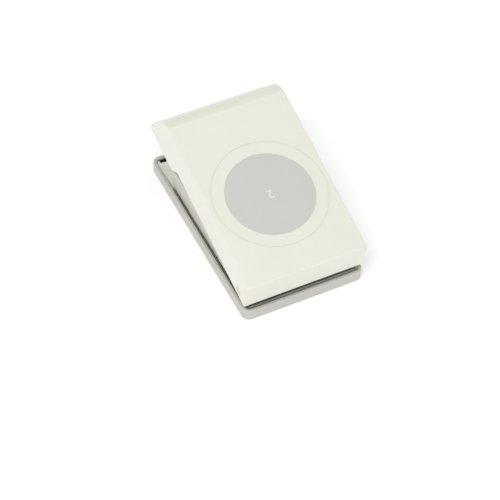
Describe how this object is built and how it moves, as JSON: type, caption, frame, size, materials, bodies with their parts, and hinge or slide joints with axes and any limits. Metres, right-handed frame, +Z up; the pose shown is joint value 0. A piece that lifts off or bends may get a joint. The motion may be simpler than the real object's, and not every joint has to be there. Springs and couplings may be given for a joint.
{
  "type": "circle craft punch",
  "caption": "Lever craft punch that cuts circles from paper: grey tray, steel die and frame, sprung cutter, cream hinged lever with round size label and storage lock.",
  "frame": {"origin": "on the surface that the punch stands on, below the middle of its outline with the lever raised", "axes": "+Z up along the punch stroke, +Y from the lever's pivot to its pressed end, +X to the right seen from the pivot end"},
  "size_m": [0.0742, 0.1284, 0.0544],
  "materials": {
    "tray_plastic": "fine grained grey moulding",
    "lever_plastic": "smooth satin cream moulding",
    "frame_steel": "satin plated sheet",
    "tool_steel": "ground and hardened",
    "spring_wire": "drawn wire",
    "fastener_steel": "zinc plated",
    "guide_plastic": "natural acetal moulding",
    "lock_plastic": "darker grey moulding",
    "label_film": "printed grey film"
  },
  "bodies": {
    "base": {"base_tray": "tray_plastic", "die_plate": "tool_steel", "throat_stop": "frame_steel", "stripper_plate": "frame_steel", "upper_frame": "frame_steel", "guide_sleeve": "guide_plastic", "throat_rivets": "fastener_steel", "tray_screws": "fastener_steel", "spring_near_left": "spring_wire", "spring_near_right": "spring_wire", "spring_rear_left": "spring_wire", "spring_rear_right": "spring_wire"},
    "plunger": {"cutter": "tool_steel", "plunger_plate": "frame_steel", "spring_posts": "fastener_steel", "cutter_screws": "fastener_steel"},
    "lever": {"lever_cover": "lever_plastic", "size_label": "label_film", "press_bar": "guide_plastic", "pivot_pin": "fastener_steel", "lock_hooks": "frame_steel", "hook_screws": "fastener_steel"},
    "lock": {"lock_slide": "lock_plastic"}
  },
  "joints": [
    {"name": "lever_hinge", "type": "hinge", "parent": "base", "child": "lever", "pos_m": [0, -0.05372, 0.0182], "axis": [-1, 0, 0], "range_deg": [0, 13.4], "stiffness_Nm_per_rad": 8.5, "springref_deg": -3.61},
    {"name": "plunger_slide", "type": "slide", "parent": "base", "child": "plunger", "axis": [0, 0, -1], "range_m": [0, 0.00928], "deforming": ["spring_near_left", "spring_near_right", "spring_rear_left", "spring_rear_right"]},
    {"name": "lock_shift", "type": "slide", "parent": "base", "child": "lock", "axis": [1, 0, 0], "range_m": [0, 0.0032]}
  ],
  "couplings": [
    {"joint": "plunger_slide", "follows": "lever_hinge", "m_per_rad": 0.039679}
  ]
}
